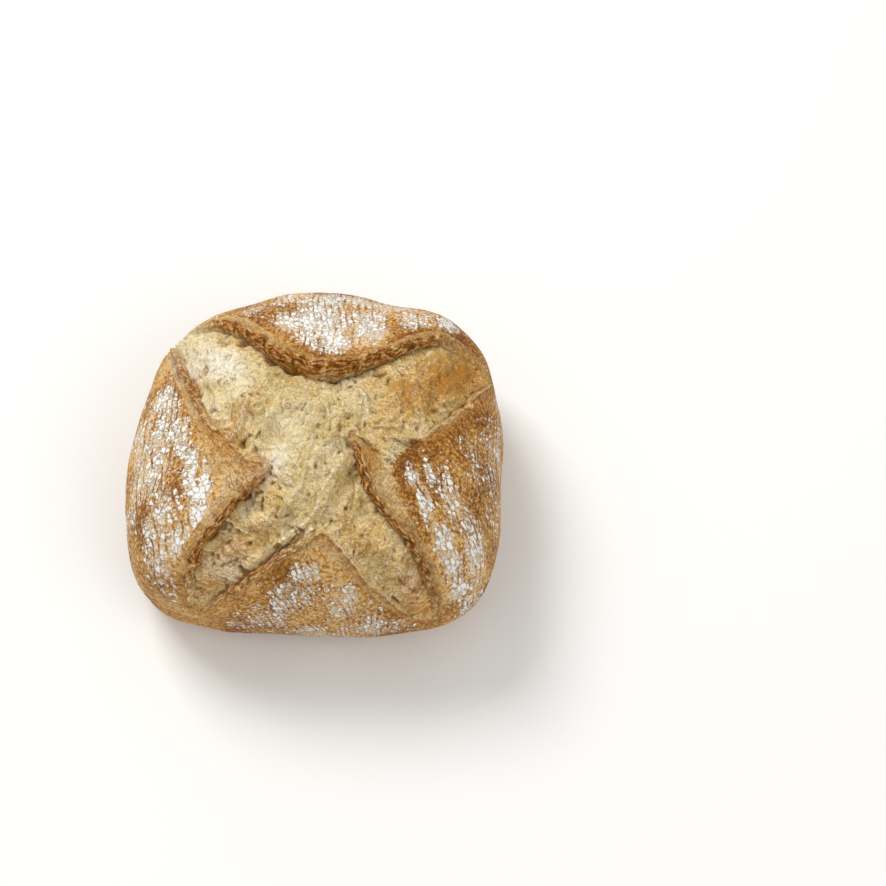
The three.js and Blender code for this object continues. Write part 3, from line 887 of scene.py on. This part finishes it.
def torn_crumb(m, place):
    """Colour and height, in millimetres, of torn crumb, from the facts of the skin."""
    fibre, strip = (add(m, "Attribute", out="Vector", attribute_name=fact)
                    for fact in ("fibre", "strip"))
    painted_shade, web, toast, bake_and_painted_light, browned, layer, rim, seam = (
        add(m, "Attribute", out="Fac", attribute_name=fact)
        for fact in ("painted_shade", "web", "toast", "bake_and_painted_light", "browned", "layer", "rim", "seam"))

    cloud, grit, hair, curl, gap, flake = (
        add(m, "TexNoise", {"Vector": where, "Scale": scale, "Detail": detail,
                            "Roughness": roughness, "Distortion": distortion})
        for where, scale, detail, roughness, distortion in (
            (place, 1 / CLOUD, 3.0, 0.5, 0.0), (place, 1 / GRIT, 3.0, 0.75, 0.2),
            (fibre, HAIRS, 3.0, 0.7, 0.1), (place, 1 / RIDGE, 2.0, 0.6, 1.4),
            (fibre, SLITS, 2.0, 0.6, 0.8), (strip, FLAKES, 4.0, 0.7, 0.2)))
    ridge = thin_lines(m, curl, RIDGE_WIDTH)
    slit = thin_lines(m, gap, SLIT_WIDTH)
    open_slit = add(m, "MapRange", ramp(cloud, 0.56, 0.66))
    slit = add(m, "Math", {0: slit, 1: open_slit}, operation="MULTIPLY")

    # A torn layer ends in a crest with a painted highlight and a painted shadow line under it, where
    # the crumb is curled; the seam walls get the same painted highlight.
    jag = weighed(m, ((grit, LAYER_JAG),), layer)
    rise = add(m, "Math", {0: jag}, operation="FRACT")
    crest = add(m, "MapRange", ramp(rise, 0.84, 0.97), **SOFT)
    under = add(m, "MapRange", ramp(rise, 0.10, 0.0), **SOFT)
    torn_here = add(m, "MapRange", ramp(curl, 0.42, 0.56))
    crest = add(m, "Math", {0: crest, 1: torn_here}, operation="MULTIPLY")
    under = add(m, "Math", {0: under, 1: torn_here}, operation="MULTIPLY")
    wall = weighed(m, ((grit, -SEAM_JAG),), seam)
    wall = add(m, "MapRange", ramp(wall, -0.15, -0.55), **SOFT)
    crest = add(m, "Math", {0: crest, 1: wall}, operation="MAXIMUM")

    # Cream crumb, golden where it was toasted, and near white where the paler patches paint light on
    # it, at its upper left.
    # Tone: partly the crumb's own mottling, and partly painted shade and highlight, since the grit and
    # hairs that raise its bump also darken its low places and pale its high ones.
    tone = weighed(m, ((cloud, 0.30), (hair, 0.28), (grit, 0.42), (bake_and_painted_light, -0.055), (crest, 0.06)))
    low = add(m, "MapRange", ramp(tone, 0.41, 0.50))
    high = add(m, "MapRange", ramp(tone, 0.49, 0.59))
    cream = coated(m, "#BD9B52", ((low, "#DAC48A"), (high, "#F0E3BF")))
    tan = coated(m, "#A87228", ((low, "#DCAF64"), (high, "#F0D49C")))
    # Painted light: the crumb turns near white where the patches are paler than -0.45.
    paler_share = add(m, "MapRange", ramp(bake_and_painted_light, -0.45, -0.85, 0.85))
    # Painted highlight on the crests, together with pale lines on the curled edges of the torn cell
    # walls.
    pale = weighed(m, ((crest, 0.5), (ridge, 0.35)), use_clamp=True)
    golden = weighed(m, ((toast, 0.40), (hair, 2.6), (grit, -1.2), (web, 0.14), (crest, 0.22)))
    golden = add(m, "MapRange", ramp(golden, 0.92, 1.26, 0.75), **SOFT)
    gold = coated(m, "#C99A45", ((toast, "#B06F18"),))

    # Brown, flaky strips on the torn faces, a painted highlight along the lips, and painted shade in
    # the hollows and slits.
    dark_face = add(m, "MapRange", ramp(flake, 0.41, 0.53))
    pale_face = add(m, "MapRange", ramp(flake, 0.52, 0.64))
    face = coated(m, "#5C3206", ((dark_face, "#B07026"), (pale_face, "#E3C084")))
    # Painted highlight: a pale line along the lips, on the paler flakes at the rim.
    lip = add(m, "MapRange", ramp(rim, 0.72, 0.98))
    lip = add(m, "Math", {0: lip, 1: pale_face}, operation="MULTIPLY")
    # Painted shade in dark brown: from the shade painted in the crumb's hollows, the slits between the
    # fibres and the line under each layer's edge.
    deep = add(m, "MapRange", ramp(painted_shade, 0.30, 1.0, 0.7), **SOFT)
    deep = weighed(m, ((slit, 0.75), (under, 0.65)), deep, use_clamp=True)
    colour = coated(m, cream, (
        (toast, tan), (paler_share, "#F3EBDA"), (pale, "#FAF2DC"), (golden, gold),
        (browned, face), (lip, "#EBCF98"), (deep, "#84550F")))

    loose = add(m, "Math", {0: flake, 1: browned}, operation="MULTIPLY")
    height = weighed(m, (
        (grit, GRIT_DEPTH), (hair, GRIT_DEPTH), (ridge, RIDGE_DEPTH), (slit, -SLIT_DEPTH),
        (crest, RIDGE_DEPTH), (under, -SLIT_DEPTH), (loose, FLAKE_DEPTH)))
    return colour, height


def floured_wheat_crust():
    """Crust of a hearth-baked wheat roll, dusted with flour before it was baked.

    The skin is matt and brown, with painted shade in its wrinkles and painted highlight on their
    ridges, and golden where it tore at the lips.
    The flour lies as a speckled film along the lines of the cloth, and where it was thick it
    has caked to white plates with brown skin in the gaps.
    """
    m, place = new_material("floured_wheat_crust")
    grain = add(m, "Attribute", out="Vector", attribute_name="grain")
    flour, rim, bare, bake_and_painted_light = (add(m, "Attribute", out="Fac", attribute_name=fact)
                              for fact in ("flour", "rim", "bare", "bake_and_painted_light"))

    # Places drawn out along the lines of the cloth, for dust, cake and gaps in the lines.
    dust_place, cake_place, break_place = (
        add(m, "VectorMath", {0: grain, 1: (1 / width, 1 / length, 1 / depth)},
            operation="MULTIPLY")
        for width, length, depth in (
            (DUST, DUST * DUST_DRAW, DUST), (CAKE, CAKE * CAKE_DRAW, CAKE), (*GROOVE_BREAK, 1)))
    stain, wrinkle, dust, cake, sway, broken = (
        add(m, "TexNoise", {"Vector": where, "Scale": scale, "Detail": detail,
                            "Roughness": roughness, "Distortion": distortion})
        for where, scale, detail, roughness, distortion in (
            (place, 1 / STAIN, 3.0, 0.5, 0.0), (place, 1 / WRINKLE, 4.0, 0.7, 0.1),
            (dust_place, 1.0, 3.0, 0.65, 0.1), (cake_place, 1.0, 5.0, 0.68, 0.2),
            (place, 1 / GROOVE_SWAY_LENGTH, 2.0, 0.5, 0.0), (break_place, 1.0, 2.0, 0.5, 0.0)))

    # Painted shade and highlight: the wrinkles that raise the bump also darken the skin in their low
    # places and pale it on their ridges, over the stains of the baking.
    tone = weighed(m, ((stain, 0.35), (wrinkle, 0.65), (bake_and_painted_light, -0.07)))
    low = add(m, "MapRange", ramp(tone, 0.41, 0.51))
    high = add(m, "MapRange", ramp(tone, 0.51, 0.60))
    edge = add(m, "Math", {0: rim, 1: 0.55}, operation="MULTIPLY")
    brown = coated(m, "#703F09", ((low, "#B07A31"), (high, "#DDB87A"), (edge, "#95581A")))

    # Pieces that the cake cracked into, with ragged sides.
    shaken = add(m, "TexNoise", {"Vector": grain, "Scale": 1 / SHAKE_LENGTH, "Detail": 3.0,
                                 "Roughness": 0.7}, out="Color")
    shaken = add(m, "VectorMath", {0: shaken, 1: (SHAKE, SHAKE, SHAKE), 2: grain},
                 operation="MULTIPLY_ADD")
    piece = add(m, "TexVoronoi", {"Vector": shaken, "Scale": 1 / PLATE}, out="Color")
    piece = add(m, "SeparateColor", {"Color": piece})
    crack = add(m, "TexVoronoi", {"Vector": shaken, "Scale": 1 / PLATE},
                feature="DISTANCE_TO_EDGE")

    # Lines of the cloth, which sway a little and are broken here and there.
    across = add(m, "SeparateXYZ", {0: grain})
    sway = add(m, "Math", {0: sway, 1: GROOVE_SWAY}, operation="MULTIPLY")
    groove = weighed(m, ((across, 1 / GROOVE_PITCH),), sway)
    groove = add(m, "Math", {0: groove, 1: 2 * math.pi}, operation="MULTIPLY")
    groove = add(m, "Math", {0: groove}, operation="SINE")
    groove = add(m, "MapRange", ramp(groove, 0.3, 1.0), **SOFT)
    broken = add(m, "MapRange", ramp(broken, 0.42, 0.60))
    groove = add(m, "Math", {0: groove, 1: broken}, operation="MULTIPLY")

    # A thin veil, then a speckled film, then white plates, as the flour gets thicker.
    field = weighed(m, ((groove, -0.55),), flour)
    crack = weighed(m, ((dust, -0.45), (field, 0.12)), crack)
    crack = add(m, "MapRange", ramp(crack, -0.12, -0.07))
    veil = weighed(m, ((dust, 0.9),), field)
    veil = add(m, "MapRange", ramp(veil, 0.75, 1.25, 0.45))
    film = add(m, "Math", {0: field, 1: 0.50}, operation="MINIMUM")
    film = weighed(m, ((dust, 1.9), (cake, 0.9)), film)
    film = add(m, "MapRange", ramp(film, 1.72, 1.94, 0.80), **SOFT)
    film = add(m, "Math", {0: film, 1: crack}, operation="MULTIPLY")
    thick = weighed(m, ((cake, 2.0), (dust, 1.0), (piece, 0.8)), field)
    thick = add(m, "MapRange", ramp(thick, 2.42, 2.48), **SOFT)
    thick = add(m, "Math", {0: thick, 1: crack}, operation="MULTIPLY")
    white = coated(m, "#D9D2C4", ((dust, "#FFFEFA"),))

    torn, torn_height = torn_crumb(m, place)
    ragged = weighed(m, ((cake, 1.8),), bare)
    ragged = add(m, "MapRange", ramp(ragged, 1.25, 1.65), **SOFT)
    colour = coated(m, brown, (
        (veil, "#DCC9A4"), (film, "#E6DDCC"), (thick, white), (ragged, torn)))
    relief = weighed(m, ((thick, PLAQUE), (wrinkle, WRINKLE_DEPTH), (dust, DUST_DEPTH),
                         (groove, -GROOVE_DEPTH)))
    relief = add(m, "Mix", {0: ragged, 2: relief, 3: torn_height})
    bump = add(m, "Bump", {"Height": relief, "Distance": MM, "Strength": 1.0})
    surface = add(m, "BsdfPrincipled", {
        "Base Color": colour, "Roughness": 0.75, "Normal": bump, "Specular IOR Level": 0.25})
    add(m, "OutputMaterial", {"Surface": surface})
    return m


def torn_wheat_crumb():
    """Crumb that tore open and dried in the oven: matt, cream, fibrous and full of pores.

    It is toasted in streaks, deepest on the torn faces below the lips, and has painted shade
    inside its pores. A little light passes through its thin walls.
    """
    m, place = new_material("torn_wheat_crumb")
    colour, height = torn_crumb(m, place)
    bump = add(m, "Bump", {"Height": height, "Distance": MM, "Strength": 1.0})
    surface = add(m, "BsdfPrincipled", {
        "Base Color": colour, "Roughness": 0.85, "Normal": bump, "Specular IOR Level": 0.2,
        "Subsurface Weight": 0.10, "Subsurface Radius": (1.0, 0.7, 0.4),
        "Subsurface Scale": 0.8 * MM})
    add(m, "OutputMaterial", {"Surface": surface})
    return m


def matt_white_paper():
    """Sheet of photographer's paper: matt and evenly pale."""
    m, _ = new_material("matt_white_paper")
    surface = add(m, "BsdfPrincipled", {"Base Color": linear("#F2F1EE"), "Roughness": 0.9,
                                        "Specular IOR Level": 0.1})
    add(m, "OutputMaterial", {"Surface": surface})
    return m


def add_floor():
    """Wide sheet of paper under the roll."""
    bpy.ops.mesh.primitive_plane_add(size=FLOOR_SIZE)
    floor = bpy.context.active_object
    floor.name = "paper_floor"
    floor.data.materials.append(matt_white_paper())


def add_lights():
    """Two soft boxes over the roll and a bright, even room."""
    for name, (place, size, watts) in SOFT_BOXES.items():
        bpy.ops.object.light_add(type="AREA", location=place)
        lamp = bpy.context.active_object
        lamp.name = name
        lamp.data.size = size
        lamp.data.energy = watts
        lamp.rotation_euler = (-Vector(place)).to_track_quat("-Z", "Y").to_euler()
    world = bpy.context.scene.world or bpy.data.worlds.new("bright_room")
    bpy.context.scene.world = world
    world.use_nodes = True
    room = world.node_tree.nodes["Background"]
    room.inputs["Color"].default_value = linear("#FFFFFF")
    room.inputs["Strength"].default_value = ROOM_LIGHT


def add_camera(aside):
    """Camera of the photograph, with the roll where the photograph has it."""
    look = math.radians(90 - CAMERA_TILT)
    aim = Vector((0, 0, HEIGHT / 2 * MM)) + aside
    focal = CAMERA_LENS / CAMERA_SENSOR * FRAME
    across, down = (ROLL_PIXEL[0] - FRAME / 2) / focal, (ROLL_PIXEL[1] - FRAME / 2) / focal
    turn = Matrix.Rotation(look, 3, "X")
    turn = turn @ Matrix.Rotation(math.atan2(across, 1), 3, "Y")
    turn = turn @ Matrix.Rotation(math.atan2(down, math.hypot(1, across)), 3, "X")
    away = Vector((0, -math.sin(look), math.cos(look))) * CAMERA_DISTANCE
    data = bpy.data.cameras.new("photo_camera")
    data.lens = CAMERA_LENS
    data.sensor_width = CAMERA_SENSOR
    camera = bpy.data.objects.new("photo_camera", data)
    camera.matrix_world = Matrix.Translation(aim + away) @ turn.to_4x4()
    bpy.context.scene.collection.objects.link(camera)
    bpy.context.scene.camera = camera


roll, aside = make_roll(floured_wheat_crust(), torn_wheat_crumb())
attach(roll, "root")
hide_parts("bread_roll")

add_floor()
add_lights()
add_camera(aside)
bpy.context.scene.view_settings.view_transform = "Standard"
